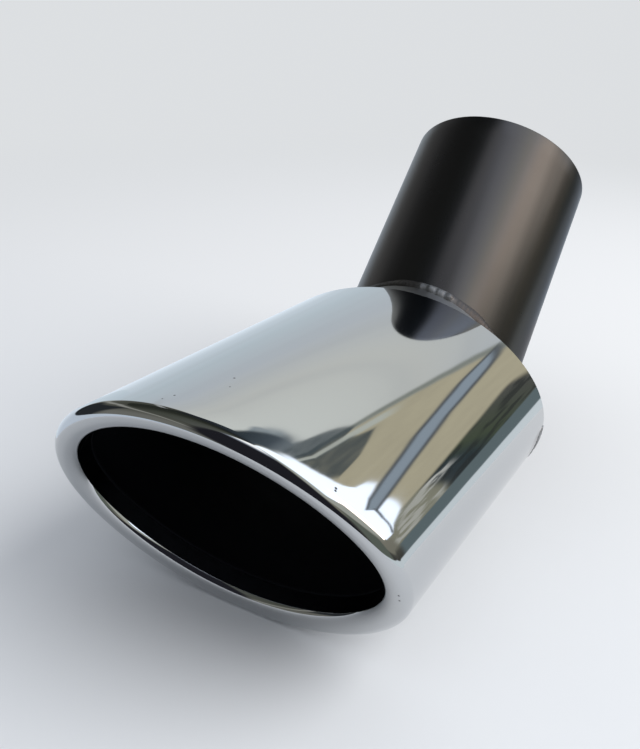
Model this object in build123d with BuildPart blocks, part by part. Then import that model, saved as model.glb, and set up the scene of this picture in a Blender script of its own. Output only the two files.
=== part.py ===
"""Oval slash-cut exhaust tip with a rolled lip and a mitred round inlet.

The origin is the centre of the inlet pipe's open end. +Y runs along the shell from its mouth to its rear,
+Z is up and +X is to the right seen from the mouth.
"""

import os
from math import atan2, cos, degrees, radians, sin, sqrt, tan

from build123d import *

# Inlet pipe and its elbow
pipe_diameter = 60.0
pipe_wall = 1.4
pipe_edge_chamfer = 0.3
socket_depth = 55.0
socket_step = 0.4
inlet_length = 78.5
bend_angle = 45.0
elbow_setback = 22.5
stub_insert = 14.0

# Outer shell
shell_width = 93.5
shell_end_radius = 21.5
shell_wall = 1.0
shell_length = 92.6
slash_angle = 22.0
stub_gap = 0.1
rest_flat_width = 11.0

# Rolled lip
lip_radius = 2.4
lip_land = 0.7
lip_thickness = 2.0
flange_depth = 7.0

# Closing plates at the rear
plate_thickness = 1.5
plate_gap = 0.1
plate_tip = 12.0

# Welds
mitre_bead_width = 3.2
stub_bead_height = 0.8
stub_bead_length = 2.0
notch_length = 11.0
notch_depth = 4.0
notch_drop = 5.3
rim_bead_sink = 0.15
rim_bead_bulge = 0.6

# Derived sizes
pipe_radius = pipe_diameter / 2
bore_radius = pipe_radius - pipe_wall
socket_radius = bore_radius + socket_step
half_bend = radians(bend_angle) / 2
half_width = shell_width / 2
half_height = pipe_radius + stub_gap + shell_wall
slash = radians(slash_angle)
overall_shell = shell_length + half_height * tan(slash)
stub_length = stub_insert + elbow_setback
roll_width = lip_radius + lip_land
beyond = lip_radius + roll_width


def side_radius(half_x, half_y, end_radius):
    """Radius of the long arcs of a four-arc oval, tangent to its end arcs."""
    reach = half_x - end_radius
    return (reach**2 + half_y**2 - end_radius**2) / (2 * (half_y - end_radius))


# The shell rests on a narrow flat along its underside, level with the heel of the mitre weld
belly_radius = side_radius(half_width, half_height, shell_end_radius)
rest_flat_depth = belly_radius - sqrt(belly_radius**2 - (rest_flat_width / 2) ** 2)
mitre_bead_height = half_height - rest_flat_depth - pipe_radius

# Opening of the mouth, drawn in the mouth's own plane
mouth_half_width = half_width - lip_radius - roll_width
mouth_half_height = (half_height - lip_radius) / cos(slash) - roll_width
mouth_end_radius = (shell_end_radius - lip_radius) / cos(slash) ** 1.5 - roll_width
mouth_drop = lip_radius * tan(slash)

# Places and planes
inlet_direction = Vector(0, cos(2 * half_bend), sin(2 * half_bend))
elbow_centre = inlet_direction * -inlet_length
rear_centre = elbow_centre - Vector(0, elbow_setback, 0)
mouth_centre = rear_centre - Vector(0, shell_length, 0)
inlet_plane = Plane(origin=(0, 0, 0), x_dir=(1, 0, 0), z_dir=inlet_direction)
mitre_plane = Plane(origin=elbow_centre, x_dir=(1, 0, 0), z_dir=(0, cos(half_bend), sin(half_bend)))
rear_plane = Plane(origin=rear_centre, x_dir=(1, 0, 0), z_dir=(0, -1, 0))
stub_plane = rear_plane.offset(stub_insert)
mouth_plane = Plane(origin=mouth_centre, x_dir=(1, 0, 0), z_dir=(0, -cos(slash), -sin(slash)))
opening_centre = mouth_centre + Vector(0, sin(slash), -cos(slash)) * mouth_drop
opening_plane = Plane(origin=opening_centre, x_dir=(1, 0, 0), z_dir=mouth_plane.z_dir)
rest_plane = Plane(origin=rear_centre - Vector(0, 0, half_height - rest_flat_depth), z_dir=(0, 0, 1))
side_plane = Plane(origin=rear_centre, x_dir=(0, 1, 0), z_dir=(1, 0, 0))


def oval(half_x, half_y, end_radius, mode=Mode.ADD):
    """Four-arc oval in the active sketch."""
    long_radius = side_radius(half_x, half_y, end_radius)
    reach = half_x - end_radius
    drop = long_radius - half_y
    turn = degrees(atan2(drop, reach))
    with BuildLine() as outline:
        CenterArc((reach, 0), end_radius, -turn, 2 * turn)
        CenterArc((0, -drop), long_radius, turn, 180 - 2 * turn)
        CenterArc((-reach, 0), end_radius, 180 - turn, 2 * turn)
        CenterArc((0, drop), long_radius, 180 + turn, 180 - 2 * turn)
    make_face(outline.edges(), mode=mode)


def shell_oval(inset, mode=Mode.ADD):
    """Cross-section of the shell, moved inwards from its outside by the inset."""
    oval(half_width - inset, half_height - inset, shell_end_radius - inset, mode)


def mouth_oval(growth):
    """Outline of the mouth's opening, grown outwards."""
    oval(mouth_half_width + growth, mouth_half_height + growth, mouth_end_radius + growth)


def mitred_leg(end_plane, length, radius, keep):
    """Solid round leg of the elbow, from its square end to the mitre."""
    with BuildPart() as leg:
        with BuildSketch(end_plane):
            Circle(radius)
        extrude(amount=-(length + radius * tan(half_bend)))
        split(bisect_by=mitre_plane, keep=keep)
    return leg.part


def mitre_bead(end_plane, length, keep, keep_near, edge):
    """Half of the band that lies round the mitre on one leg."""
    with BuildPart() as bead:
        add(mitred_leg(end_plane, length, pipe_radius + mitre_bead_height, keep))
        add(mitred_leg(end_plane, length, pipe_radius, keep), mode=Mode.SUBTRACT)
        split(bisect_by=mitre_plane.offset(edge), keep=keep_near)
    return bead.part


def rim_notches():
    """Rounded notch shape that crosses the shell's rear edge on both sides."""
    with BuildPart() as notches:
        with BuildSketch(side_plane):
            with Locations((0, -notch_drop)):
                SlotOverall(notch_length, 2 * notch_depth, rotation=90)
        extrude(amount=half_width + beyond, both=True)
    return notches.part


# Solid oval bar with the slanted mouth, its edge rounded as the outside of the rolled lip
with BuildPart() as shell_bar:
    with BuildSketch(rear_plane):
        shell_oval(0)
    extrude(amount=overall_shell + beyond)
    split(bisect_by=mouth_plane, keep=Keep.BOTTOM)
    split(bisect_by=rest_plane, keep=Keep.TOP)
    mouth_face = shell_bar.faces().sort_by(Axis(mouth_plane.origin, mouth_plane.z_dir))[-1]
    fillet(mouth_face.edges(), radius=lip_radius)

# Space inside the shell, up to the back of the lip
with BuildPart() as shell_inside:
    with BuildSketch(rear_plane):
        shell_oval(shell_wall)
    extrude(amount=overall_shell + beyond)
    split(bisect_by=mouth_plane.offset(-lip_thickness), keep=Keep.BOTTOM)

# Turned-in flange of the lip, which leaves the roll hollow and open at its back
with BuildPart() as lip_flange:
    with BuildSketch(opening_plane.offset(-flange_depth)):
        mouth_oval(shell_wall)
    extrude(amount=flange_depth - lip_thickness / 2)

# Opening through the lip and its flange
with BuildPart() as mouth_opening:
    with BuildSketch(opening_plane.offset(-flange_depth)):
        mouth_oval(0)
    extrude(amount=flange_depth + beyond)

# Outer shell: one sheet whose mouth is rolled inwards, so the lip is hollow and open behind its flange
with BuildPart() as outer_shell:
    add(shell_bar.part)
    add(shell_inside.part, mode=Mode.SUBTRACT)
    add(lip_flange.part)
    add(mouth_opening.part, mode=Mode.SUBTRACT)
    lip_face = outer_shell.faces().sort_by(Axis(mouth_plane.origin, mouth_plane.z_dir))[-1]
    fillet(lip_face.inner_wires().edges(), radius=lip_radius)
    add(rim_notches(), mode=Mode.SUBTRACT)

# Short round stub along the shell's axis, cut on the mitre
with BuildPart() as inlet_stub:
    add(mitred_leg(stub_plane, stub_length, pipe_radius, Keep.BOTTOM))
    with BuildSketch(stub_plane):
        Circle(bore_radius)
    extrude(amount=-(stub_length + beyond + pipe_radius), mode=Mode.SUBTRACT)

# Inlet pipe that rises from the mitre to its open end, with a sized socket for the tailpipe
with BuildPart() as inlet_pipe:
    add(mitred_leg(inlet_plane, inlet_length, pipe_radius, Keep.TOP))
    with BuildSketch(inlet_plane):
        Circle(bore_radius)
    extrude(amount=-(inlet_length + beyond + pipe_radius), mode=Mode.SUBTRACT)
    with BuildSketch(inlet_plane):
        Circle(socket_radius)
    extrude(amount=-socket_depth, mode=Mode.SUBTRACT)
    open_end = inlet_pipe.faces().sort_by(Axis(inlet_plane.origin, inlet_plane.z_dir))[-1]
    chamfer(open_end.outer_wire().edges(), length=pipe_edge_chamfer)

# Band of weld round the mitre, lying on the outside of both legs
with BuildPart() as mitre_weld:
    add(mitre_bead(stub_plane, stub_length, Keep.BOTTOM, Keep.TOP, -mitre_bead_width / 2))
    add(mitre_bead(inlet_plane, inlet_length, Keep.TOP, Keep.BOTTOM, mitre_bead_width / 2))

# Crescent plates that close the rear on each side of the stub
with BuildPart() as right_closing_plate:
    with BuildSketch(rear_plane):
        shell_oval(shell_wall + plate_gap)
        Circle(pipe_radius + plate_gap, mode=Mode.SUBTRACT)
        with Locations((plate_tip - half_width, 0)):
            Rectangle(2 * half_width, 2 * half_height, mode=Mode.SUBTRACT)
    extrude(amount=plate_thickness)

with BuildPart() as left_closing_plate:
    mirror(right_closing_plate.part, about=Plane.YZ)

# Fillet bead round the stub, on the plates and the shell's rear edge
with BuildPart() as stub_weld:
    with BuildSketch(side_plane):
        with BuildLine():
            toe_on_stub = (stub_bead_length, pipe_radius)
            toe_on_plate = (0, pipe_radius + stub_bead_height)
            Polyline(toe_on_stub, (0, pipe_radius), toe_on_plate, close=True)
        make_face()
    revolve(axis=Axis(rear_centre, (0, 1, 0)))

# Weld puddles that fill the notches of the rear edge
with BuildPart() as right_rim_weld:
    with BuildSketch(rear_plane.offset(-rim_bead_bulge)):
        shell_oval(rim_bead_sink)
        shell_oval(shell_wall, mode=Mode.SUBTRACT)
        with Locations((-half_width, 0)):
            Rectangle(2 * half_width, 2 * half_height, mode=Mode.SUBTRACT)
    extrude(amount=rim_bead_bulge + notch_depth)
    add(rim_notches(), mode=Mode.INTERSECT)

with BuildPart() as left_rim_weld:
    mirror(right_rim_weld.part, about=Plane.YZ)

pieces = {
    "outer_shell": outer_shell,
    "inlet_stub": inlet_stub,
    "inlet_pipe": inlet_pipe,
    "mitre_weld": mitre_weld,
    "right_closing_plate": right_closing_plate,
    "left_closing_plate": left_closing_plate,
    "stub_weld": stub_weld,
    "right_rim_weld": right_rim_weld,
    "left_rim_weld": left_rim_weld,
}
os.makedirs("parts", exist_ok=True)
for name, piece in pieces.items():
    piece.part.label = name
    export_step(piece.part, f"parts/{name}.step")
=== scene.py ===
"""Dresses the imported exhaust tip: its polished oval shell with a rolled lip, dark inlet pipe and welds.

It also sets the stage: a pale floor, soft light, what the polish mirrors and the photograph's view.
"""

from math import cos, pi, radians, sin, tan

import bpy
import numpy as np
from mathutils import Matrix, Vector


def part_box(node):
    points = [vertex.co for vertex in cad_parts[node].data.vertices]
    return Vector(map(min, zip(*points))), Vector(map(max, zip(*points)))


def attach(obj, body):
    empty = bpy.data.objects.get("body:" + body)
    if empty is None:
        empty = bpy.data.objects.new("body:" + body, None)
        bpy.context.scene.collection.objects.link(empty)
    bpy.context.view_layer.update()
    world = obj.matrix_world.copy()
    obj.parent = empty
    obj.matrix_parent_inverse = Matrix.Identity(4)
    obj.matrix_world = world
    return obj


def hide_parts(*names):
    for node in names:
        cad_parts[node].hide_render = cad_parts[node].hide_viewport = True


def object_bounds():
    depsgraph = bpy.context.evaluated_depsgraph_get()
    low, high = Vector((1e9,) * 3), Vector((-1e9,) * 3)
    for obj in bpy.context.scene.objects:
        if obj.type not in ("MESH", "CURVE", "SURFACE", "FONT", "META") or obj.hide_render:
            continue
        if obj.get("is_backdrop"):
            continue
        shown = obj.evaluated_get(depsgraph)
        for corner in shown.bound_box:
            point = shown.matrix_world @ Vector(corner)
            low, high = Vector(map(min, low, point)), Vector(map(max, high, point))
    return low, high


bl_info = {
    "name": "Exhaust Tip",
    "version": (1, 0, 0),
    "blender": (4, 5, 0),
    "location": "View3D > Sidebar > Exhaust Tip",
    "description": "Builds a polished oval exhaust tip with a rolled lip over its packed solids",
    "category": "Object",
}

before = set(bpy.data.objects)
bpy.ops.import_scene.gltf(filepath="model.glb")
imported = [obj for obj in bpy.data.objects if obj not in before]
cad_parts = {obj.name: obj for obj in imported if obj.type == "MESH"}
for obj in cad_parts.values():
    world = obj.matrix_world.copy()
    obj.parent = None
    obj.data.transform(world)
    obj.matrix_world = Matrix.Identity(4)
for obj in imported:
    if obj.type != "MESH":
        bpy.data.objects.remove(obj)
cad_low, cad_high = (list(corner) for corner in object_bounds())
shell_low, shell_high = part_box("outer_shell")
pipe_low, pipe_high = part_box("inlet_pipe")

MM = 0.001

# How finely the meshes are divided
SHELL_COLUMNS = 576
OUTER_ROLL_ROWS = 21
INNER_ROLL_ROWS = 17
PIPE_COLUMNS = 192
EDGE_ROWS = 5
BEAD_COLUMNS = 720
BEAD_ROWS = 15
PUDDLE_COLUMNS = 61
PUDDLE_ROWS = 25
FLOOR_SIDES = 96
SHARP_ANGLE = radians(38)

# Numbers of the shell's finishes, in the order of its material slots
POLISH, PAINT = 0, 1

# Middle and half widths of the two floors, in metres
NEAR_FLOOR = (0.03, -0.08, 0.165, 0.185)
FAR_FLOOR = (0, 0, 9, 9)

# The photograph's height and its focal length, in pixels
PHOTO_HEIGHT = 749
PHOTO_FOCAL = 835.36

# Pits in the polish: their places and how wide they are, in millimetres
SHELL_PITS = (
    (-1.6, -160.4, -24.4, 0.30),
    (0.4, -164.8, -24.4, 0.20),
    (-6.7, -174.2, -24.8, 0.28),
    (-7.8, -176.7, -24.9, 0.22),
    (31.9, -175.1, -33.4, 0.34),
    (32.1, -175.7, -33.6, 0.30),
    (44.6, -170.6, -55.4, 0.24),
    (44.6, -170.0, -57.0, 0.24),
)

# Lumps of the mitre weld: degrees from its top, spread in degrees, and share of the full height
MITRE_LUMPS = ((4, 2.2, 0.6), (9.5, 2.6, 1.0), (15.5, 2.4, 0.7), (21, 2.2, 1.0))


def size_property(name, description, default):
    """A length that the sidebar shows in scene units."""
    return bpy.props.FloatProperty(
        name=name, description=description, default=default, precision=5, subtype="DISTANCE", unit="LENGTH"
    )


def place_property(name, description, default):
    """A point in the part's frame."""
    return bpy.props.FloatVectorProperty(
        name=name, description=description, default=default, size=3, subtype="TRANSLATION", unit="LENGTH"
    )


def angle_property(name, description, default):
    """An angle, given and shown in degrees."""
    return bpy.props.FloatProperty(
        name=name, description=description, default=radians(default), subtype="ANGLE", unit="ROTATION"
    )


def colour_property(name, description, default):
    """A linear colour."""
    return bpy.props.FloatVectorProperty(
        name=name, description=description, default=default, size=3, min=0, max=1, subtype="COLOR"
    )


def share_property(name, description, default):
    """A number from nothing to all."""
    return bpy.props.FloatProperty(
        name=name, description=description, default=default, min=0, max=1, subtype="FACTOR"
    )


class TipShellSizes(bpy.types.PropertyGroup):
    """Sizes of the oval shell and its rolled lip."""

    width: size_property("Width", "Outside width of the oval", shell_high.x - shell_low.x)
    height: size_property("Height", "Outside height of the oval", 62.2 * MM)
    pinch: share_property("Pinch", "How far the oval is slimmer than an ellipse half way to its ends", 0.016)
    length: size_property("Length", "Along the axis, from the rear edge to the mouth's middle", 92.6 * MM)
    wall: size_property("Wall", "Thickness of the sheet", 1 * MM)
    slash: angle_property("Slash", "How far the mouth leans from square", 22)
    rest_flat: size_property("Resting Flat", "Depth of the flat along the underside", 0.255 * MM)
    lip_radius: size_property("Lip Radius", "Radius of the rolled lip", 2.4 * MM)
    inner_roll: size_property("Inner Roll", "How far the roll's inner side turns into the mouth", 3.5 * MM)
    lip_land: size_property("Lip Land", "Flat width between the two sides of the roll", 0.7 * MM)
    lip_thickness: size_property("Lip Thickness", "Depth of metal at the front of the roll", 2 * MM)
    flange_depth: size_property("Flange Depth", "Reach of the turned-in flange behind the mouth", 7 * MM)
    paint_gap: size_property("Paint Edge", "How far behind the roll the black paint starts", 4.0 * MM)


class TipPipeSizes(bpy.types.PropertyGroup):
    """Sizes of the inlet pipe and its stub."""

    diameter: size_property("Diameter", "Outside diameter of the pipe and the stub", pipe_high.x - pipe_low.x)
    wall: size_property("Wall", "Thickness of the pipe", 1.4 * MM)
    inlet_length: size_property("Inlet Length", "From the open end to the elbow's middle", 78.5 * MM)
    bend: angle_property("Bend", "Angle between the stub and the inlet pipe", 45)
    setback: size_property("Setback", "From the elbow's middle to the shell's rear edge", 22.5 * MM)
    insert: size_property("Insert", "How far the stub reaches into the shell", 14 * MM)
    socket_depth: size_property("Socket Depth", "Depth of the sized socket in the open end", 55 * MM)
    socket_step: size_property("Socket Step", "Step between the socket and the bore", 0.4 * MM)
    edge: size_property("Edge", "Rounding of the open end's edge", 0.3 * MM)


class TipWeldSizes(bpy.types.PropertyGroup):
    """Sizes of the weld beads."""

    mitre_width: size_property("Mitre Bead Width", "Width of the bead round the mitre", 3.4 * MM)
    mitre_height: size_property("Mitre Bead Height", "Height of the bead round the mitre", 0.8 * MM)
    lump_height: size_property("Lump Height", "Height that the lumps in the elbow's corner add", 0.7 * MM)
    stub_length: size_property("Stub Bead Length", "Reach of the stub's bead along the stub", 2.2 * MM)
    stub_height: size_property("Stub Bead Height", "Reach of the stub's bead over the rear edge", 0.8 * MM)
    ripple: size_property("Ripple", "Height of the ripples on the beads", 0.1 * MM)
    ripple_pitch: size_property("Ripple Pitch", "Distance between ripples", 1.4 * MM)
    notch_length: size_property("Notch Length", "Length of the weld puddle in the rear edge", 11 * MM)
    notch_depth: size_property("Notch Depth", "How far the puddle reaches into the shell", 4 * MM)
    notch_drop: size_property("Notch Drop", "How far the puddle's middle lies below the axis", 5.3 * MM)


class TipFinishes(bpy.types.PropertyGroup):
    """Colours and gloss of the finishes."""

    polish: colour_property("Polish", "Polished metal of the shell", (0.55, 0.562, 0.572))
    polish_blur: share_property("Polish Blur", "Roughness of the polished metal", 0.03)
    inside: colour_property("Inside", "Matt black paint inside the shell", (0.006, 0.007, 0.0095))
    coat: colour_property("Pipe Coat", "Dark satin coat of the inlet pipe", (0.052, 0.048, 0.046))
    coat_blur: share_property("Pipe Blur", "Roughness of the pipe's coat", 0.24)
    steel: colour_property("Bare Steel", "Bare steel of the plates and the stub", (0.40, 0.40, 0.40))
    weld: colour_property("Weld", "Weld metal", (0.24, 0.245, 0.25))


class TipStage(bpy.types.PropertyGroup):
    """Floor, light and camera."""

    floor: colour_property("Floor", "Plain pale floor", (0.82, 0.83, 0.845))
    backdrop: colour_property("Backdrop", "What the floor fades into behind the tip", (0.72, 0.74, 0.76))
    sky: colour_property("Soft Light", "Light from all round", (0.52, 0.54, 0.57))
    mirror_gain: share_property("Mirror Gain", "How much the room brightens where metal mirrors it", 0.47)
    key_power: bpy.props.FloatProperty(
        name="Key Light",
        description="Power of the large soft lamp",
        default=43.0,
        min=0,
        subtype="POWER",
        unit="POWER",
    )
    key_size: size_property("Key Size", "Diameter of the large soft lamp", 2.2)
    key_tint: colour_property("Key Tint", "Colour of the lamp's light", (1.0, 0.985, 0.96))
    key_place: place_property("Key Place", "Where the lamp hangs", (1.50, 0.36, 1.15))
    key_aim: place_property("Key Aim", "Point that the lamp faces", (0, -0.09, -0.05))
    camera_azimuth: angle_property("Camera Azimuth", "Direction the camera looks in, seen from above", 28.738)
    camera_elevation: angle_property("Camera Elevation", "How far the camera looks down", 22.521)
    camera_roll: angle_property("Camera Roll", "Turn of the camera about its own axis", 2.704)
    camera_place: place_property("Camera Place", "Where the camera stands", (0.093670, -0.296062, 0.045649))


class Wire:
    """A node's socket in a sum: an expression on wires adds its Math nodes."""

    def __init__(self, sheet, socket):
        self.sheet = sheet
        self.socket = socket

    def __add__(self, other):
        return self.sheet.math("ADD", self, other)

    def __sub__(self, other):
        return self.sheet.math("SUBTRACT", self, other)

    def __rsub__(self, other):
        return self.sheet.math("SUBTRACT", other, self)

    def __mul__(self, other):
        return self.sheet.math("MULTIPLY", self, other)

    def __truediv__(self, other):
        return self.sheet.math("DIVIDE", self, other)

    def __rtruediv__(self, other):
        return self.sheet.math("DIVIDE", other, self)

    __radd__ = __add__
    __rmul__ = __mul__


class NodeSheet:
    """A node tree to which nodes are added one by one."""

    def __init__(self, tree):
        self.tree = tree
        tree.nodes.clear()

    def node(self, kind, settings=None, sockets=None):
        """Adds a node, sets it up, then gives its sockets their values or links."""
        made = self.tree.nodes.new(kind)
        for name, value in (settings or {}).items():
            if name == "stops":
                set_stops(made.color_ramp, value)
            else:
                setattr(made, name, value)
        for key, value in (sockets or {}).items():
            if isinstance(value, Wire):
                self.tree.links.new(value.socket, made.inputs[key])
            else:
                made.inputs[key].default_value = value
        return made

    def wire(self, made, key=0):
        """An output of a node as a wire."""
        return Wire(self, made.outputs[key])

    def math(self, operation, *values):
        """A Math node on wires and numbers."""
        return self.wire(self.node("ShaderNodeMath", {"operation": operation}, dict(enumerate(values))))

    def rise(self, value, start, end):
        """Goes smoothly from 0 at the start to 1 at the end."""
        sockets = {"Value": value, "From Min": start, "From Max": end}
        return self.wire(self.node("ShaderNodeMapRange", {"interpolation_type": "SMOOTHSTEP"}, sockets))

    def fall(self, value, start, end):
        """Goes smoothly from 1 at the start to 0 at the end."""
        return 1 - self.rise(value, start, end)

    def band(self, value, start, end, soft):
        """1 between the start and the end, with soft edges."""
        return self.rise(value, start - soft, start + soft) * self.fall(value, end - soft, end + soft)

    def blend(self, share, first, second):
        """First colour where the share is 0, second where it is 1."""
        pair = {0: share, 6: as_paint(first), 7: as_paint(second)}
        return self.wire(self.node("ShaderNodeMix", {"data_type": "RGBA"}, pair), 2)

    def ramp(self, value, stops):
        """Colours along a value, which change evenly from stop to stop."""
        places = list(stops)
        start, span = places[0], places[-1] - places[0]
        settings = {"stops": [((place - start) / span, as_paint(stops[place])) for place in places]}
        return self.wire(self.node("ShaderNodeValToRGB", settings, {"Fac": (value - start) / span}))

    def line(self, value, stops):
        """A number from -90 to 90 along a value, which changes evenly from stop to stop."""
        greys = {place: [0.5 + number / 180] * 3 for place, number in stops.items()}
        return 180 * self.ramp(value, greys) - 90

    def noise(self, place, scale, detail=2.0):
        """Smooth noise about a half."""
        sockets = {"Vector": place, "Scale": scale, "Detail": detail}
        return self.wire(self.node("ShaderNodeTexNoise", None, sockets), "Fac")

    def place(self):
        """Where a point lies on its piece, in metres."""
        return self.wire(self.node("ShaderNodeTexCoord"), "Object")

    def parts(self, vector):
        """The three numbers of a vector."""
        split = self.node("ShaderNodeSeparateXYZ", None, {"Vector": vector})
        return [self.wire(split, axis) for axis in "XYZ"]


def set_stops(ramp, stops):
    """Puts a ramp's stops in place."""
    for _ in range(len(stops) - 2):
        ramp.elements.new(0.5)
    for element, (place, colour) in zip(ramp.elements, stops):
        element.position = place
        element.color = colour


def as_paint(colour):
    """A colour with its alpha, or the wire that gives one."""
    return colour if isinstance(colour, Wire) else (*colour, 1.0)


def scaled(parts, by):
    """A colour or a place times a number."""
    return [by * part for part in parts]


def inlet_direction(pipe):
    """Direction of the inlet pipe's axis, towards its open end."""
    return np.array([0, cos(pipe.bend), sin(pipe.bend)])


def elbow_place(pipe):
    """Where the axes of the stub and the inlet pipe meet."""
    return -pipe.inlet_length * inlet_direction(pipe)


def rear_place(pipe):
    """Middle of the shell's rear edge."""
    return elbow_place(pipe) - np.array([0, pipe.setback, 0])


def new_finish(paint, scene):
    """A material with one Principled shader, named for the paint function that gives its sockets."""
    material = bpy.data.materials.new(paint.__name__)
    material.use_nodes = True
    sheet = NodeSheet(material.node_tree)
    shader = sheet.node("ShaderNodeBsdfPrincipled", None, paint(sheet, scene))
    sheet.node("ShaderNodeOutputMaterial", None, {"Surface": sheet.wire(shader)})
    return material


def burnt_and_shaded_edge(sheet, place, scene):
    """Where heat tint and painted shade darken the metal along the joint at the front of the weld puddles'
    notches.
    """
    _, rear_edge, axis_level = rear_place(scene.tip_pipe).tolist()
    puddle_level = axis_level - scene.tip_welds.notch_drop
    x, y, z = sheet.parts(place)
    ahead = (rear_edge - y) / MM
    aside = sheet.math("ABSOLUTE", z - puddle_level) / MM
    past_notch = sheet.rise(ahead, 2.4, 3.6)
    fading = sheet.fall(ahead + 0.8 * aside, 6, 14)
    beside_notch = sheet.fall(aside, 4, 6)
    on_sides = sheet.rise(sheet.math("ABSOLUTE", x), 28 * MM, 30 * MM)
    mottled = 0.5 + 0.5 * sheet.noise(place, scale=500.0)
    return past_notch * fading * beside_notch * on_sides * mottled


def pit(sheet, place, centre, reach):
    """A soft spot about a centre, both in millimetres."""
    sockets = {0: place, 1: scaled(centre, MM)}
    apart = sheet.node("ShaderNodeVectorMath", {"operation": "DISTANCE"}, sockets)
    return sheet.fall(sheet.wire(apart, "Value"), 0.4 * reach * MM, 1.3 * reach * MM)


def shell_polish(sheet, scene):
    """Mirror polish with a faint waviness, a few tiny pits, and heat tint with painted shade beside the weld
    puddles.
    """
    finishes = scene.tip_finishes
    burnt_and_shade, pit_black = (0.09, 0.085, 0.08), (0.05, 0.05, 0.05)
    place = sheet.place()
    pits = [pit(sheet, place, centre, reach) for *centre, reach in SHELL_PITS]
    pitted = sum(pits[1:], pits[0])
    waves = sheet.noise(place, scale=45.0, detail=1.0)
    bump = sheet.node("ShaderNodeBump", None, {"Strength": 0.06, "Distance": 0.4 * MM, "Height": waves})
    haze = sheet.noise(place, scale=160.0, detail=3.0)
    # Heat tint and painted shade along the joint at the front of the weld puddles
    shine = sheet.blend(burnt_and_shaded_edge(sheet, place, scene), finishes.polish, burnt_and_shade)
    return {
        "Base Color": sheet.blend(pitted, shine, pit_black),
        "Metallic": 1.0,
        "Roughness": finishes.polish_blur + 0.02 * haze + 0.3 * pitted,
        "Normal": sheet.wire(bump),
    }


def shell_inside_black(sheet, scene):
    """Matt black paint with a slight unevenness."""
    grain = sheet.noise(sheet.place(), scale=220.0, detail=3.0)
    return {
        "Base Color": as_paint(scene.tip_finishes.inside),
        "Roughness": 0.55 + 0.2 * grain,
        "Specular IOR Level": 0.1,
    }


def pipe_coat(sheet, scene):
    """Dark satin coat with a fine grain, with painted reflections and shade in bands across the pipe through
    its tint and metallic share.
    """
    finishes = scene.tip_finishes
    cloud = (0.07, 0.065, 0.061)

    # Painted reflections and shade: shares of the coat's colour, and of metal, by the distance to the right
    # of the middle in millimetres
    shades = {
        -30: (2.3, 2.2, 2.1),
        -13: (1.5, 1.55, 1.65),
        0: (0.95, 1.05, 1.2),
        3: (0.62, 0.7, 0.8),
        8: (1.0, 1.05, 1.15),
        12: (1.2, 1.2, 1.2),
        16: (1.62, 1.6, 1.43),
        18: (1.66, 1.72, 1.68),
        22: (1.42, 1.58, 1.64),
        24: (0.95, 1.08, 1.12),
        25.5: (0.95, 1.1, 1.14),
        28.3: (2.0, 2.1, 2.0),
        30: (1.5, 1.55, 1.5),
    }
    metal = {-20: 0.3, -14: 0.55, -11: 0.75, -7.5: 0.88, -3: 0.94, 2: 1.0}
    # Painted reflections and shade, as tints of the coat that lighten and darken bands across the pipe
    painted_light_tints = {at: [part * by for part, by in zip(finishes.coat, shade)] for at, shade in shades.items()}
    place = sheet.place()
    clouds = sheet.noise(place, scale=60.0, detail=3.0)
    grain = sheet.noise(place, scale=1400.0)
    across = sheet.parts(place)[0] / MM
    return {
        "Base Color": sheet.blend(0.3 * clouds, sheet.ramp(across, painted_light_tints), cloud),
        "Metallic": sheet.line(across, metal),
        "Roughness": finishes.coat_blur + 0.05 * clouds + 0.05 * grain,
        "Specular Tint": (0.58, 0.59, 0.62, 1.0),
    }


def stub_steel(sheet, scene):
    """Satin steel outside the shell, black paint inside it and in the bore."""
    finishes = scene.tip_finishes
    _, rear_edge, axis_level = rear_place(scene.tip_pipe).tolist()
    radius = scene.tip_pipe.diameter / 2
    place = sheet.place()
    x, y, z = sheet.parts(place)
    clouds = sheet.noise(place, scale=90.0, detail=3.0)
    above = z - axis_level
    from_axis = sheet.math("SQRT", x * x + above * above)
    behind_shell = sheet.rise(y, rear_edge - 0.5 * MM, rear_edge)
    outside = behind_shell * sheet.rise(from_axis, radius - 0.9 * MM, radius - 0.5 * MM)
    return {
        "Base Color": sheet.blend(outside, finishes.inside, scaled(finishes.steel, 0.62)),
        "Metallic": outside,
        "Roughness": 0.34 + 0.12 * clouds,
    }


def plate_steel(sheet, scene):
    """Plain sheet on the rear side, black paint on the side that faces the mouth."""
    finishes = scene.tip_finishes
    rear_edge = float(rear_place(scene.tip_pipe)[1])
    place = sheet.place()
    rear = sheet.rise(sheet.parts(place)[1], rear_edge - 0.5 * MM, rear_edge - 0.2 * MM)
    clouds = sheet.noise(place, scale=120.0, detail=4.0)
    return {
        "Base Color": sheet.blend(rear, finishes.inside, finishes.steel),
        "Metallic": rear,
        "Roughness": 0.38 + 0.15 * clouds,
    }


def weld_metal(sheet, scene):
    """Grey weld metal with darker clouds."""
    weld = scene.tip_finishes.weld
    clouds = sheet.noise(sheet.place(), scale=420.0, detail=3.0)
    return {
        "Base Color": sheet.blend(sheet.rise(clouds, 0.35, 0.65), scaled(weld, 0.7), weld),
        "Metallic": 0.9,
        "Roughness": 0.30 + 0.25 * clouds,
    }


def coated_weld(sheet, scene):
    """Weld under the pipe's coat, bare on the lumps in the elbow's inner corner."""
    finishes = scene.tip_finishes
    place = sheet.place()
    clouds = sheet.noise(place, scale=420.0, detail=3.0)
    bare = sheet.band(sheet.parts(place)[0], 1.5 * MM, 12 * MM, 2 * MM)
    return {
        "Base Color": sheet.blend(bare, scaled(finishes.coat, 1.3), scaled(finishes.weld, 0.75)),
        "Metallic": 0.95,
        "Roughness": 0.36 + 0.2 * clouds + 0.14 * bare,
    }


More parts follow.
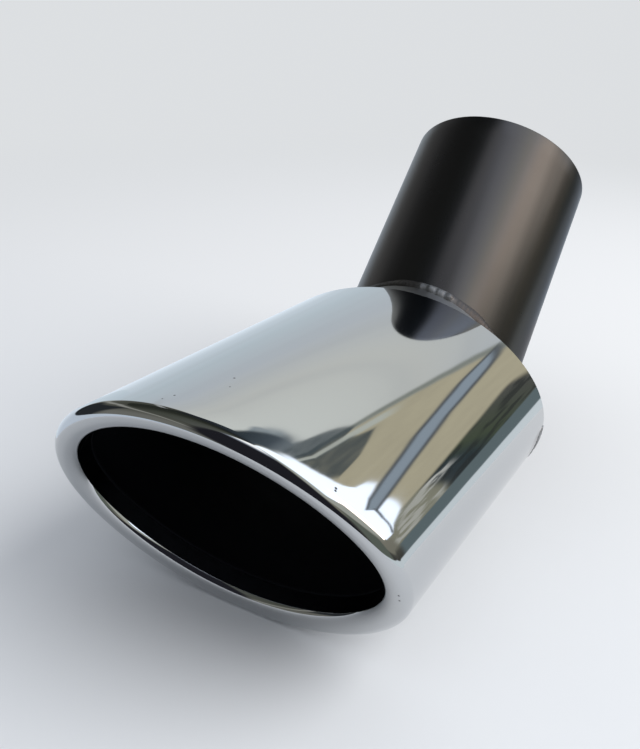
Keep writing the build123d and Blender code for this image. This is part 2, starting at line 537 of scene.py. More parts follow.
def rim_weld(sheet, scene):
    """Weld in the shell's rear edge, rubbed bright with the shell, with heat tint and painted shade at its
    front.
    """
    weld = scene.tip_finishes.weld
    burnt_and_shade = (0.05, 0.047, 0.045)
    place = sheet.place()
    clouds = sheet.noise(place, scale=300.0)
    metal = sheet.blend(sheet.rise(clouds, 0.4, 0.7), weld, scaled(weld, 1.5))
    return {
        # Heat tint and painted shade along the puddle's front joint
        "Base Color": sheet.blend(burnt_and_shaded_edge(sheet, place, scene), metal, burnt_and_shade),
        "Metallic": 1.0,
        "Roughness": 0.32 + 0.2 * clouds,
    }


def pale_floor(sheet, scene):
    """Plain pale floor with painted shade that makes it slightly darker and bluer in front, and which fades
    into the glow of the backdrop.
    """
    stage = scene.tip_stage
    black = (0, 0, 0)
    place = sheet.place()
    # Painted shade: the floor is slightly darker and bluer nearer the camera, as on its shaded side
    painted_shade_front = [part * shade for part, shade in zip(stage.floor, (0.94, 0.96, 0.99))]
    tone = sheet.blend(sheet.rise(sheet.parts(place)[1], -0.35, 0.15), painted_shade_front, stage.floor)
    apart = sheet.node("ShaderNodeVectorMath", {"operation": "LENGTH"}, {0: place})
    far = sheet.rise(sheet.wire(apart, "Value"), 0.16, 0.85)
    return {
        "Base Color": sheet.blend(far, tone, black),
        "Roughness": 0.9,
        "Specular IOR Level": 0.0,
        "Emission Color": sheet.blend(far, black, stage.backdrop),
        "Emission Strength": 1.0,
    }


def skin(name, rings, finishes, bands=None, wrap=True):
    """A closed mesh over rings of points, which run along the piece and follow each other round its section.

    Bands give the number of each ring's finish. With wrap the piece closes on itself along its length, and
    otherwise its ends are capped.
    """
    count, along = rings.shape[:2]
    index = np.arange(count * along).reshape(count, along)
    after = np.roll(index, -1, axis=0)
    quads = np.stack([index, np.roll(index, -1, axis=1), np.roll(after, -1, axis=1), after], axis=-1)
    if not wrap:
        quads = quads[:, :-1]
    spans = quads.shape[1]
    quads = quads.reshape(-1, 4)
    points = rings.reshape(-1, 3)
    corners = points[quads]
    normals = np.cross(corners[:, 2] - corners[:, 0], corners[:, 3] - corners[:, 1])
    inside_out = (corners.mean(axis=1) * normals).sum() < 0
    faces = quads[:, ::-1].tolist() if inside_out else quads.tolist()
    if not wrap:
        caps = [index[:, 0].tolist(), index[::-1, -1].tolist()]
        faces += [cap[::-1] for cap in caps] if inside_out else caps
    mesh = bpy.data.meshes.new(name)
    mesh.from_pydata(points.tolist(), [], faces)
    for finish in finishes:
        mesh.materials.append(finish)
    if bands is not None:
        mesh.polygons.foreach_set("material_index", np.repeat(bands, spans).astype(np.int32))
    mesh.polygons.foreach_set("use_smooth", np.ones(len(mesh.polygons), dtype=bool))
    mesh.set_sharp_from_angle(angle=SHARP_ANGLE)
    mesh.validate()
    piece = bpy.data.objects.new(name, mesh)
    bpy.context.scene.collection.objects.link(piece)
    return piece


def settle(piece, node):
    """The piece rides on the part and stands for its solid, which is hidden."""
    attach(piece, "root")
    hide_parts(node)


def between(first, second, count, last=False):
    """Rings from the first one towards the second, without the second unless last."""
    steps = np.linspace(0, 1, count + 1)[: count + last, None, None]
    return first[None] * (1 - steps) + second[None] * steps


def unit(vectors):
    """Vectors in the same directions with a length of 1."""
    return vectors / np.linalg.norm(vectors, axis=1, keepdims=True)


def length_along(points):
    """Length of a line of points from its first one to each of them."""
    return np.concatenate([[0], np.cumsum(np.linalg.norm(np.diff(points, axis=0), axis=1))])


def oval_at(shell, turn):
    """Points of the shell's oval about its middle, and the directions that face out of it."""
    half_width, half_height = shell.width / 2, shell.height / 2
    slim = 1 - shell.pinch * np.sin(2 * turn) ** 2
    slimming = -2 * shell.pinch * np.sin(4 * turn)
    flat = np.zeros_like(turn)
    points = np.stack([half_width * np.cos(turn) * slim, flat, half_height * np.sin(turn) * slim], axis=1)
    across = half_width * (np.cos(turn) * slimming - np.sin(turn) * slim)
    upwards = half_height * (np.sin(turn) * slimming + np.cos(turn) * slim)
    return points, unit(np.stack([upwards, flat, -across], axis=1))


def even_oval(shell, count):
    """Points that lie evenly along the shell's oval, and the directions that face out of it."""
    fine = np.linspace(0, 2 * pi, 20001)
    reach = length_along(oval_at(shell, fine)[0])
    return oval_at(shell, np.interp(np.arange(count) / count * reach[-1], reach, fine))


def notch_reach(height, welds):
    """How far the weld puddle's notch cuts into the rear edge at a height above the axis."""
    round_part = welds.notch_depth
    straight = welds.notch_length / 2 - round_part
    past = np.clip(np.abs(height + welds.notch_drop) - straight, 0, round_part)
    return np.sqrt(round_part**2 - past**2)


def shell_rings(shell, welds):
    """Rings of the shell about its mouth's middle, and the finish of each ring."""
    rim, outwards = even_oval(shell, SHELL_COLUMNS)
    forwards = np.array([0, -cos(shell.slash), -sin(shell.slash)])
    radius = shell.lip_radius

    def moved_to(points, reach):
        moved = points.copy()
        moved[:, 1] = reach
        return moved

    def behind_mouth(points, depth):
        return moved_to(points, (depth - points[:, 2] * sin(shell.slash)) / cos(shell.slash))

    # Rolled lip, from the outside wall over the land into the mouth
    spine = behind_mouth(rim - radius * outwards, radius)
    inwards = -unit(outwards - (outwards @ forwards)[:, None] * forwards)
    inner_spine = spine + shell.lip_land * inwards
    opening = np.arccos(outwards @ forwards)[:, None]
    outer_roll = []
    for share in np.linspace(0, 1, OUTER_ROLL_ROWS):
        lean = np.sin((1 - share) * opening) * outwards + np.sin(share * opening) * forwards
        outer_roll.append(spine + radius * lean / np.sin(opening))
    inner_roll = []
    for turn in np.linspace(0, pi / 2, INNER_ROLL_ROWS):
        lean = radius * cos(turn) * forwards + shell.inner_roll * sin(turn) * inwards
        inner_roll.append(inner_spine + lean)

    # Turned-in flange and the inside of the wall
    paint_edge = inner_roll[-1] - shell.paint_gap * forwards
    flange_end = inner_roll[-1] - (shell.flange_depth - radius) * forwards
    flange_back = flange_end - shell.wall * inwards
    roll_back = flange_back + (shell.flange_depth - shell.lip_thickness) * forwards
    inner_rim = rim - shell.wall * outwards
    inner_front = behind_mouth(inner_rim, shell.lip_thickness)

    # Rear edge, with a notch for the weld puddle on each side
    on_sides = np.abs(rim[:, 0]) > 0.3 * shell.width
    rear_line = shell.length - notch_reach(rim[:, 2], welds) * on_sides
    inner_rear = moved_to(inner_rim, rear_line)
    outer_rear = moved_to(rim, rear_line)

    stretches = [
        (POLISH, between(outer_rear, outer_roll[0], 20)),
        (POLISH, np.array(outer_roll)),
        (POLISH, np.array(inner_roll)),
        (PAINT, between(paint_edge, flange_end, 4, last=True)),
        (PAINT, between(flange_back, roll_back, 3, last=True)),
        (PAINT, between(inner_front, inner_rear, 16, last=True)),
    ]
    rings = np.concatenate([stretch for _, stretch in stretches])
    rings[..., 2] = np.maximum(rings[..., 2], shell.rest_flat - shell.height / 2)
    bands = np.concatenate([np.full(len(stretch), finish) for finish, stretch in stretches])
    bands[-1] = POLISH
    return rings, bands


def leg_frames(pipe, count):
    """Angles round a leg from its top, and the outward directions there on the stub and on the inlet pipe."""
    turn = np.arange(count) / count * 2 * pi
    side, up = np.sin(turn), np.cos(turn)
    on_stub = np.stack([side, np.zeros(count), up], axis=1)
    on_pipe = np.stack([side, -up * sin(pipe.bend), up * cos(pipe.bend)], axis=1)
    return turn, on_stub, on_pipe


def mitre_reach(pipe, turn, size):
    """How far the mitre cuts past the elbow's middle on a leg of a size, at angles from its top."""
    return size * np.cos(turn) * tan(pipe.bend / 2)


def pipe_rings(pipe):
    """Rings of the inlet pipe, from the mitre up its outside and down its bore."""
    turn, _, out = leg_frames(pipe, PIPE_COLUMNS)
    radius = pipe.diameter / 2
    bore = radius - pipe.wall
    socket = bore + pipe.socket_step
    along = inlet_direction(pipe)

    def ring(size, reach):
        return size * out + np.outer(np.broadcast_to(reach, turn.shape), along)

    def mitre(size):
        return mitre_reach(pipe, turn, size) - pipe.inlet_length

    edge = [
        ring(radius - pipe.edge * (1 - cos(bow)), -pipe.edge * (1 - sin(bow)))
        for bow in np.linspace(0, pi / 2, EDGE_ROWS)
    ]
    stretches = [
        between(ring(radius, mitre(radius)), edge[0], 12),
        np.array(edge),
        between(ring(socket, 0), ring(socket, -pipe.socket_depth), 6, last=True),
        between(ring(bore, -pipe.socket_depth), ring(bore, mitre(bore)), 4, last=True),
    ]
    return np.concatenate(stretches)


def stub_rings(pipe):
    """Rings of the stub, from the mitre along its outside and back through its bore."""
    turn, out, _ = leg_frames(pipe, PIPE_COLUMNS)
    _, elbow, level = elbow_place(pipe)
    radius = pipe.diameter / 2
    bore = radius - pipe.wall
    front = elbow - pipe.setback - pipe.insert

    def ring(size, reach):
        placed = size * out
        placed[:, 1] = reach
        placed[:, 2] += level
        return placed

    def mitre(size):
        return elbow - mitre_reach(pipe, turn, size)

    stretches = [
        between(ring(radius, mitre(radius)), ring(radius, front), 8, last=True),
        between(ring(bore, front), ring(bore, mitre(bore)), 8, last=True),
    ]
    return np.concatenate(stretches)


def unevenness(turn, waves):
    """Slow rises and dips round a closed seam, between -1 and 1, from waves with a count and a shift."""
    total = sum(np.sin(count * turn + shift) for count, shift in waves)
    return total / len(waves)


def scales(length, across, pitch):
    """Overlapping scales of a weld, bowed forwards in the middle of the bead."""
    bow, steepness, mean = 0.55, 1.6, 0.4
    phase = (length / pitch + bow * (1 - across**2)) % 1.0
    return phase**steepness - mean


def bead(toe, top, far_toe, root, ripple, length, pitch):
    """Rings of a bead that bows from one toe over its top to the other, and closes at its root."""
    outwards = unit(top - root)
    knee = 2 * top - (toe + far_toe) / 2
    rings = []
    for across in np.linspace(-1, 1, BEAD_ROWS):
        share = (across + 1) / 2
        bow = (1 - share) ** 2 * toe + 2 * share * (1 - share) * knee + share**2 * far_toe
        height = ripple * scales(length, across, pitch) * (1 - across**2)
        rings.append(bow + height[:, None] * outwards)
    rings.append(root)
    return np.array(rings)


def mitre_bead_rings(pipe, welds, lowest):
    """Rings of the rippled bead round the mitre."""
    toe_sink, root_sink = 0.06 * MM, 0.8 * MM
    turn, on_stub, on_pipe = leg_frames(pipe, BEAD_COLUMNS)
    radius = pipe.diameter / 2
    _, elbow, level = elbow_place(pipe)
    seam = radius * on_stub
    seam[:, 1] = elbow - mitre_reach(pipe, turn, radius)
    seam[:, 2] += level
    along = inlet_direction(pipe)
    out = unit(on_stub + on_pipe)
    wander = unevenness(turn, ((5, 0.4), (9, 2.1), (14, 4.0)))
    width = welds.mitre_width / 2 * (1 + 0.18 * wander)[:, None]
    toe = seam + width * np.array([0, -1, 0]) - toe_sink * on_stub
    far_toe = seam + width * along - toe_sink * on_pipe
    filled = (((toe + far_toe) / 2 - seam) * out).sum(axis=1).clip(0)
    lumps = sum(
        size * np.exp(-(((turn - radians(place)) / radians(spread)) ** 2))
        for place, spread, size in MITRE_LUMPS
    )
    corner = np.clip(np.cos(turn), 0, 1) ** 0.5
    height = welds.mitre_height * (1 + 0.12 * wander) * (1 - 0.75 * corner) + welds.lump_height * lumps
    top = seam + (filled + height)[:, None] * out
    root = seam - root_sink * out
    rings = bead(toe, top, far_toe, root, welds.ripple, length_along(seam), welds.ripple_pitch)
    rings[..., 2] = np.maximum(rings[..., 2], lowest)
    return rings


def stub_bead_rings(pipe, welds, lowest):
    """Rings of the bead round the stub, on the plates and the shell's rear edge."""
    toe_sink, root_sink, crown = 0.05 * MM, 0.4 * MM, 0.25 * MM
    backwards = np.array([0, 1, 0])
    turn, out, _ = leg_frames(pipe, BEAD_COLUMNS)
    radius = pipe.diameter / 2
    rear = rear_place(pipe)
    wander = unevenness(turn, ((4, 1.3), (7, 0.2), (13, 3.0)))
    sideways = np.abs(np.sin(turn)) ** 3
    over = welds.stub_height * (1 + 0.9 * sideways + 0.15 * wander)[:, None]
    along = welds.stub_length * (1 + 0.2 * wander)[:, None] * backwards
    toe = rear + (radius - toe_sink) * out + along
    far_toe = rear + (radius + over) * out
    root = rear + (radius - root_sink) * out
    top = (toe + far_toe) / 2 + crown * (out + backwards)
    rings = bead(toe, top, far_toe, root, welds.ripple, radius * turn, welds.ripple_pitch)
    rings[..., 2] = np.maximum(rings[..., 2], lowest)
    return rings


def rim_puddle_rings(shell, pipe, welds, side):
    """Rings of the weld puddle in the rear edge's notch on one side."""
    rear_bulge, edge_sink, crown, end_share = 0.55 * MM, 0.12 * MM, 0.30 * MM, 0.995
    first_scale, scale_gain = 0.6 * MM, 1.3
    level = np.linspace(-1, 1, PUDDLE_COLUMNS) * welds.notch_length / 2 * end_share
    height = level - welds.notch_drop
    depth = notch_reach(height, welds)
    bulge = rear_bulge * np.sqrt(np.clip(1 - (2 * level / welds.notch_length) ** 2, 0, 1))
    right_half = oval_at(shell, np.linspace(-pi / 2, pi / 2, 2001))[0]
    outside = np.interp(height, right_half[:, 2], right_half[:, 0])
    inside = outside - 0.95 * shell.wall
    faced, backed = [], []
    for share in np.linspace(0, 1, PUDDLE_ROWS):
        back = bulge - share * (depth + bulge)
        dome = np.sqrt(np.clip(1 - (2 * share - 1) ** 2, 0, 1))
        steps = scales(level + first_scale, 2 * share - 1, welds.ripple_pitch)
        proud = crown * dome - edge_sink + scale_gain * welds.ripple * steps * dome
        faced.append(np.stack([outside + proud, back, height], axis=1))
        backed.append(np.stack([inside, back, height], axis=1))
    rings = np.array(faced + backed[::-1])
    rings[..., 0] *= side
    return rings + rear_place(pipe)


class TIP_OT_shell(bpy.types.Operator):
    """Skin the shell from its outside wall round the rolled lip to its painted inside"""

    bl_idname = "tip.shell"
    bl_label = "Shell and Lip"

    def execute(self, context):
        scene = context.scene
        rings, bands = shell_rings(scene.tip_shell, scene.tip_welds)
        rings = rings + rear_place(scene.tip_pipe) - np.array([0, scene.tip_shell.length, 0])
        finishes = [new_finish(paint, scene) for paint in (shell_polish, shell_inside_black)]
        piece = skin("polished_shell", rings, finishes, bands)
        settle(piece, "outer_shell")
        return {"FINISHED"}


class TIP_OT_pipe(bpy.types.Operator):
    """Skin the inlet pipe and the stub that it is mitred to"""

    bl_idname = "tip.pipe"
    bl_label = "Pipe and Stub"

    def execute(self, context):
        scene = context.scene
        piece = skin("coated_pipe", pipe_rings(scene.tip_pipe), [new_finish(pipe_coat, scene)])
        settle(piece, "inlet_pipe")
        piece = skin("steel_stub", stub_rings(scene.tip_pipe), [new_finish(stub_steel, scene)])
        settle(piece, "inlet_stub")
        return {"FINISHED"}


class TIP_OT_plates(bpy.types.Operator):
    """Give the closing plates their steel and their black inner side"""

    bl_idname = "tip.plates"
    bl_label = "Closing Plates"

    def execute(self, context):
        steel = new_finish(plate_steel, context.scene)
        for node in ("right_closing_plate", "left_closing_plate"):
            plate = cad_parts[node]
            plate.data.materials.clear()
            plate.data.materials.append(steel)
        return {"FINISHED"}


class TIP_OT_welds(bpy.types.Operator):
    """Lay the rippled beads round the mitre and the stub and the puddles in the rear edge"""

    bl_idname = "tip.welds"
    bl_label = "Welds"

    def execute(self, context):
        scene = context.scene
        shell, pipe, welds = scene.tip_shell, scene.tip_pipe, scene.tip_welds
        lowest = cad_low[2]
        coated, bare, rubbed = (new_finish(paint, scene) for paint in (coated_weld, weld_metal, rim_weld))
        piece = skin("mitre_bead", mitre_bead_rings(pipe, welds, lowest), [coated])
        settle(piece, "mitre_weld")
        piece = skin("stub_bead", stub_bead_rings(pipe, welds, lowest), [bare])
        settle(piece, "stub_weld")
        for side, node in ((1, "right_rim_weld"), (-1, "left_rim_weld")):
            rings = rim_puddle_rings(shell, pipe, welds, side)
            piece = skin(node.replace("weld", "puddle"), rings, [rubbed], wrap=False)
            settle(piece, node)
        return {"FINISHED"}


def tan_wall(sheet, room, slope, grain):
    """Adds the tan wall and the grey line along its edge."""
    wall = sheet.blend(grain, (0.38, 0.345, 0.25), (0.47, 0.43, 0.305))
    room = sheet.blend(sheet.rise(slope, 23.6, 24.4), room, wall)
    return sheet.blend(sheet.band(slope, 22.8, 24.2, 0.5), room, (0.22, 0.235, 0.21))


def dark_corner(sheet, room, turn, rise, grain):
    """Adds the dark corner with its streaks low on the wall, the olive panel beside it and their foot."""
    shades = {
        23: (0.08, 0.08, 0.075),
        29: (0.06, 0.075, 0.05),
        31: (0.03, 0.044, 0.05),
        33: (0.035, 0.045, 0.05),
    }
    corner = sheet.ramp(turn, shades)
    streaks = sheet.rise(grain, 0.52, 0.6) * sheet.rise(turn, 30.5, 32)
    corner = sheet.blend(streaks * sheet.rise(rise, 7, 12), corner, (0.5, 0.5, 0.47))
    soot = 0.7 * sheet.band(grain, 0.3, 0.46, 0.06)
    corner = sheet.blend(soot, corner, (0.025, 0.028, 0.028))
    room = sheet.blend(sheet.rise(turn, 22, 23.4) * sheet.fall(rise, 13, 14.6), room, corner)
    olive = sheet.blend(streaks, (0.23, 0.227, 0.175), (0.4, 0.4, 0.36))
    beside = sheet.rise(turn + 0.1 * rise, 34, 35) * sheet.fall(rise, 13, 15)
    room = sheet.blend(beside, room, olive)
    foot = sheet.rise(turn, 23, 25) * sheet.fall(rise, 1.6, 2.6)
    return sheet.blend(foot, room, (0.112, 0.145, 0.154))


def far_hill(sheet, room, turn, rise):
    """Adds the hill further to the right, and its trees."""
    shades = {
        -4: (0.05, 0.05, 0.045),
        0: (0.07, 0.07, 0.06),
        3: (0.18, 0.175, 0.14),
        13: (0.2, 0.19, 0.155),
        20: (0.36, 0.37, 0.33),
    }
    hill = sheet.ramp(rise, shades)
    trees = sheet.band(turn, 92, 142, 5) * sheet.fall(rise, 11, 18)
    hill = sheet.blend(trees, hill, (0.105, 0.12, 0.1))
    return sheet.blend(sheet.rise(turn, 39.5, 41), room, hill)


def above_skyline(sheet, turn, rise):
    """Where the sky begins, over the walls and the hill."""
    walls = {-12: 44, -4: 43.2, 0: 42.8, 6: 42, 10.8: 40.8, 14.5: 39.4, 20: 36.4, 22.3: 34.4, 23.5: 32.8}
    corner = {24.7: 29.8, 26.6: 27.4, 29.5: 25.8, 34.6: 15, 39: 9.5}
    hill = {46: 13, 60: 15, 80: 31, 95: 42, 102: 42, 120: 38, 145: 30}
    return sheet.rise(rise - sheet.line(turn, {**walls, **corner, **hill}), -0.4, 0.4)


def bright_window(sheet, room, turn, rise, above):
    """Adds the sky in the window, warmer and brighter where it is low."""
    low = sheet.band(turn, 48, 108, 6) * sheet.fall(rise, 38, 54)
    sky = sheet.blend(low, (1.2, 1.32, 1.5), (2.8, 2.35, 2.05))
    return sheet.blend(above * sheet.band(turn, -1, 133, 6), room, sky)


def wall_stripe(sheet, room, turn, rise):
    """Adds the blue-grey stripe with its dark edges, and the dark curve that leads down from its end."""
    height = sheet.line(turn, {11: 22, 16: 23.2, 21: 24.7, 27: 24.6, 33: 23.6})
    stripe = sheet.math("ABSOLUTE", rise - height)
    stripe = stripe + 2.9 * sheet.fall(turn, 10, 15.5) + 9 * sheet.rise(turn, 32.9, 33.5)
    room = sheet.blend(sheet.fall(stripe, 1.7, 2.8), room, (0.09, 0.1, 0.11))
    room = sheet.blend(sheet.fall(stripe, 0.9, 1.8), room, (0.26, 0.31, 0.36))
    curve = rise - sheet.line(turn, {31: 25.4, 33.2: 22.2, 35.4: 18.4, 37.6: 12.8, 40: 8})
    drawn = sheet.band(curve, -0.8, 0.6, 0.3) * sheet.band(turn, 32.6, 39, 0.4)
    return sheet.blend(drawn, room, (0.07, 0.08, 0.085))


def dark_eaves(sheet, room, turn, rise, slope, above, grain):
    """Adds the dark eaves under the sky, and the pale strip of wall that stands in front of them."""
    pale = sheet.band(slope, 24.9, 26.7, 0.3) * sheet.rise(rise, 30.5, 33.5) * (1 - above)
    room = sheet.blend(pale, room, (0.46, 0.48, 0.43))
    behind = {-22: 38, -17: 38.2, -13: 38.7, -9: 39.2, -4: 39.9, -2: 39.4, 0: 38.2}
    beside = {2: 37.2, 4: 36.3, 6: 35.6, 7: 36.6, 9.5: 35.2, 11: 33.5, 16: 33.8, 19: 35.4}
    edge = sheet.line(turn, {**behind, **beside})
    eaves = sheet.rise(rise - edge, -0.25, 0.25) * sheet.band(turn, -20, 18.6, 1.5) * (1 - above)
    eaves = eaves * (1 - 0.9 * sheet.band(slope, 25, 26.4, 0.3)) * (1 - 0.35 * grain)
    shade = sheet.ramp(turn, {-9: (0.2, 0.24, 0.27), -4: (0.12, 0.15, 0.17), -2: (0.04, 0.058, 0.07)})
    return sheet.blend(eaves, room, shade)


def right_side(sheet, room, turn, rise, grain):
    """Adds what stands on the right, from the tan wall to the window and the eaves."""
    slope = turn + 0.5 * rise
    above = above_skyline(sheet, turn, rise)
    room = tan_wall(sheet, room, slope, grain)
    room = dark_corner(sheet, room, turn, rise, grain)
    room = far_hill(sheet, room, turn, rise)
    room = bright_window(sheet, room, turn, rise, above)
    room = wall_stripe(sheet, room, turn, rise)
    return dark_eaves(sheet, room, turn, rise, slope, above, grain)


def left_side(sheet, room, turn, rise):
    """Adds the dim room on the left with its light arcs, and the dark ceiling over it."""
    shades = {
        -5: (0.15, 0.15, 0.135),
        10: (0.11, 0.11, 0.095),
        22: (0.07, 0.072, 0.06),
        46: (0.042, 0.045, 0.036),
    }
    dim = sheet.ramp(rise, shades)
    arc = rise - sheet.line(turn, {-150: 4, -135: 14, -120: 19, -105: 22.5, -90: 23.5, -75: 18, -60: 8})
    dim = sheet.blend(sheet.band(arc, -2, 2, 1.5), dim, (0.27, 0.27, 0.245))
    core = sheet.band(turn, -114, -66, 4) * sheet.fall(rise + 0.15 * turn, 0, 5)
    dim = sheet.blend(core, dim, (0.02, 0.023, 0.026))
    room = sheet.blend(sheet.fall(turn - 0.45 * rise, -60, -56), room, dim)
    streak = rise - sheet.line(turn, {-80: 45, -70: 44, -60: 39, -52: 30, -44: 16})
    lit = sheet.band(streak, -2.5, 2, 1.5) * sheet.band(turn, -74, -46, 3)
    room = sheet.blend(lit, room, (0.34, 0.35, 0.35))
    shades = {
        -150: (0.085, 0.09, 0.08),
        -120: (0.058, 0.062, 0.05),
        -105: (0.035, 0.038, 0.03),
        -90: (0.023, 0.025, 0.02),
        -72: (0.022, 0.025, 0.02),
        -60: (0.016, 0.018, 0.018),
        -45: (0.018, 0.022, 0.026),
        -20: (0.032, 0.042, 0.05),
        -3: (0.08, 0.1, 0.12),
    }
    ceiling = sheet.ramp(turn, shades)
    over = sheet.rise(rise - sheet.line(turn, {-150: 28, -72: 28, -60: 44, -40: 40, 0: 39.5}), -0.5, 0.5)
    return sheet.blend(over * sheet.fall(turn, -10, 1), room, ceiling)


def front_side(sheet, room, turn, rise):
    """Adds the dark place in front of the tip, with light over it."""
    dark = (0.014, 0.014, 0.018)
    front = sheet.ramp(rise, {-30: dark, 58: dark, 67: (0.28, 0.31, 0.36), 75: (1.1, 1.1, 1.1)})
    return sheet.blend(sheet.rise(sheet.math("ABSOLUTE", turn), 146, 154), room, front)


def tiled_floor(sheet, room, turn, rise):
    """Adds the pale floor up to the foot of the walls."""
    left = {-180: -42, -155: -38, -125: -25, -90: -8, -60: 2, -48: 2}
    right = {-44: -60, 20: -60, 23: -5.5, 75: -5, 110: -15, 145: -28, 180: -42}
    edge = sheet.line(turn, {**left, **right})
    shades = {
        -90: (0.5, 0.56, 0.64),
        -62: (0.6, 0.67, 0.74),
        -49: (0.44, 0.51, 0.565),
        23: (0.58, 0.635, 0.665),
    }
    tiles = sheet.ramp(turn, shades)
    return sheet.blend(sheet.fall(rise - edge, -0.6, 0.6), room, tiles)


def surroundings(sheet):
    """What polished metal mirrors: a pale wall behind the tip, a window on its right, a dim room on its left
    and a dark place in front, on a pale floor.

    Turn and rise are degrees to the right of straight ahead, which is +Y, and degrees above the horizon.
    """
    place = sheet.wire(sheet.node("ShaderNodeTexCoord"), "Generated")
    x, y, z = sheet.parts(place)
    turn = sheet.math("ARCTAN2", x, y) * (180 / pi)
    rise = sheet.math("ARCSINE", z) * (180 / pi)
    shades = {
        -18: (0.57, 0.64, 0.71),
        -2: (0.465, 0.53, 0.585),
        7: (0.435, 0.5, 0.545),
        20: (0.445, 0.48, 0.515),
        30: (0.535, 0.545, 0.52),
        39: (0.61, 0.63, 0.6),
    }
    room = sheet.ramp(rise, shades)
    drawn_out = sheet.wire(sheet.node("ShaderNodeCombineXYZ", None, {0: 0.012 * turn, 1: 0.15 * rise}))
    wisps = sheet.rise(sheet.noise(drawn_out, scale=1.0, detail=3.0), 0.42, 0.7)
    room = sheet.blend(0.22 * wisps, room, (0.34, 0.36, 0.38))
    room = right_side(sheet, room, turn, rise, sheet.noise(place, scale=24.0, detail=3.0))
    room = left_side(sheet, room, turn, rise)
    room = front_side(sheet, room, turn, rise)
    return tiled_floor(sheet, room, turn, rise)


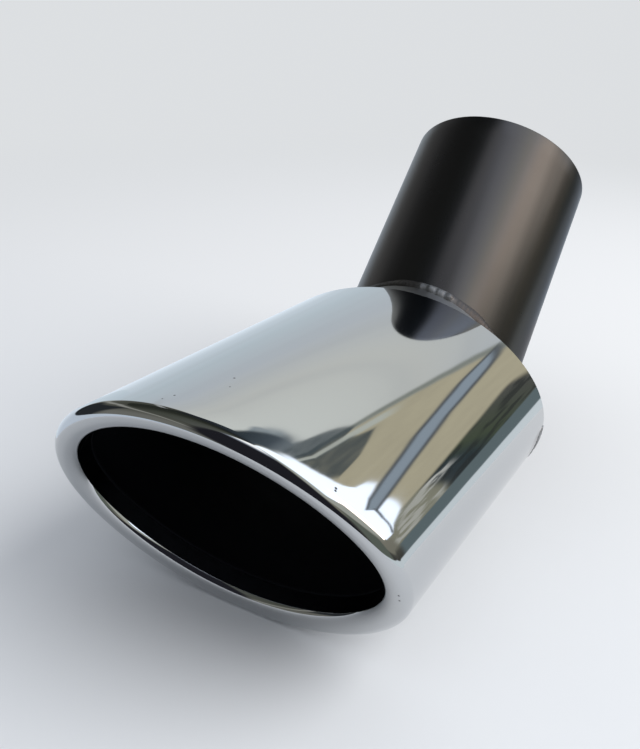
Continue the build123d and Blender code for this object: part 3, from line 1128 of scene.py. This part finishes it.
class TIP_OT_stage(bpy.types.Operator):
    """Set the plain floor, the soft light and the camera"""

    bl_idname = "tip.stage"
    bl_label = "Stage"

    def execute(self, context):
        scene, stage = context.scene, context.scene.tip_stage
        scene.view_settings.view_transform = "Standard"
        self.lay_floor(scene)
        self.light_room(scene, stage)
        self.hang_lamp(scene, stage)
        self.place_camera(scene, stage)
        return {"FINISHED"}

    def lay_floor(self, scene):
        """A near floor that metal mirrors, and a far one round it that it doesn't."""
        finish = new_finish(pale_floor, scene)
        turns = np.linspace(0, 2 * pi, FLOOR_SIDES, endpoint=False)

        def oval(x, y, half_x, half_y):
            return [(x + half_x * cos(turn), y + half_y * sin(turn), cad_low[2]) for turn in turns]

        near = oval(*NEAR_FLOOR)
        far = oval(*FAR_FLOOR)
        sides = range(FLOOR_SIDES)
        ring = []
        for side in sides:
            after = (side + 1) % FLOOR_SIDES
            ring.append([side, side + FLOOR_SIDES, after + FLOOR_SIDES, after])
        for name, points, faces in (("near_floor", near, [list(sides)]), ("far_floor", near + far, ring)):
            mesh = bpy.data.meshes.new(name)
            mesh.from_pydata(points, [], faces)
            mesh.materials.append(finish)
            floor = bpy.data.objects.new(name, mesh)
            scene.collection.objects.link(floor)
            floor.visible_glossy = points is near
            floor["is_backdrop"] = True

    def light_room(self, scene, stage):
        """Soft light from all round, the room that metal mirrors, and the backdrop that the camera sees."""
        world = bpy.data.worlds.new("soft_room")
        world.use_nodes = True
        scene.world = world
        sheet = NodeSheet(world.node_tree)
        path = sheet.node("ShaderNodeLightPath")
        mirrored = sheet.wire(path, "Is Glossy Ray")
        height = sheet.parts(sheet.wire(sheet.node("ShaderNodeTexCoord"), "Generated"))[2]
        soft = sheet.blend(sheet.rise(height, -0.1, 0.8), scaled(stage.sky, 0.35), scaled(stage.sky, 1.12))
        colour = sheet.blend(mirrored, soft, surroundings(sheet))
        colour = sheet.blend(sheet.wire(path, "Is Camera Ray"), colour, stage.backdrop)
        strength = 1 + stage.mirror_gain * mirrored
        glow = sheet.node("ShaderNodeBackground", None, {"Color": colour, "Strength": strength})
        sheet.node("ShaderNodeOutputWorld", None, {"Surface": sheet.wire(glow)})

    def hang_lamp(self, scene, stage):
        """A large soft lamp on the right behind the tip."""
        lamp = bpy.data.lights.new("right_window", "AREA")
        lamp.shape = "DISK"
        lamp.size = stage.key_size
        lamp.energy = stage.key_power
        lamp.color = stage.key_tint
        window = bpy.data.objects.new("right_window", lamp)
        scene.collection.objects.link(window)
        window.location = stage.key_place
        aim = Vector(stage.key_aim) - window.location
        window.rotation_euler = aim.to_track_quat("-Z", "Y").to_euler()
        window.visible_glossy = False
        window.visible_camera = False

    def place_camera(self, scene, stage):
        """The photograph's view, with a lens set for a frame that is taller than wide."""
        lens = bpy.data.cameras.new("photo_view")
        lens.lens = PHOTO_FOCAL * lens.sensor_width / PHOTO_HEIGHT
        lens.clip_start = 0.01
        lens.clip_end = 50
        camera = bpy.data.objects.new("photo_view", lens)
        scene.collection.objects.link(camera)
        turn = Matrix.Rotation(stage.camera_azimuth, 4, "Z")
        lean = Matrix.Rotation(pi / 2 - stage.camera_elevation, 4, "X")
        roll = Matrix.Rotation(stage.camera_roll, 4, "Z")
        camera.matrix_world = Matrix.Translation(stage.camera_place) @ turn @ lean @ roll
        scene.camera = camera


class TIP_PT_sidebar(bpy.types.Panel):
    """Lists the tip's pieces with their sizes and finishes"""

    bl_idname = "TIP_PT_sidebar"
    bl_label = "Exhaust Tip"
    bl_space_type = "VIEW_3D"
    bl_region_type = "UI"
    bl_category = "Exhaust Tip"

    def draw(self, context):
        for group, holder in SETTINGS.items():
            box = self.layout.box()
            for name in holder.__annotations__:
                box.prop(getattr(context.scene, group), name)
        for step in STEPS:
            self.layout.operator(step.bl_idname)


SETTINGS = {
    "tip_shell": TipShellSizes,
    "tip_pipe": TipPipeSizes,
    "tip_welds": TipWeldSizes,
    "tip_finishes": TipFinishes,
    "tip_stage": TipStage,
}
STEPS = (TIP_OT_shell, TIP_OT_pipe, TIP_OT_plates, TIP_OT_welds, TIP_OT_stage)


def register():
    """Adds the settings, the operators and the sidebar panel."""
    for holder in (*SETTINGS.values(), *STEPS, TIP_PT_sidebar):
        bpy.utils.register_class(holder)
    for name, holder in SETTINGS.items():
        setattr(bpy.types.Scene, name, bpy.props.PointerProperty(type=holder))


def unregister():
    """Takes them out again."""
    for name in SETTINGS:
        delattr(bpy.types.Scene, name)
    for holder in reversed((*SETTINGS.values(), *STEPS, TIP_PT_sidebar)):
        bpy.utils.unregister_class(holder)


def main():
    """Builds the tip and its stage."""
    register()
    bpy.ops.tip.shell()
    bpy.ops.tip.pipe()
    bpy.ops.tip.plates()
    bpy.ops.tip.welds()
    bpy.ops.tip.stage()


if __name__ == "__main__":
    main()
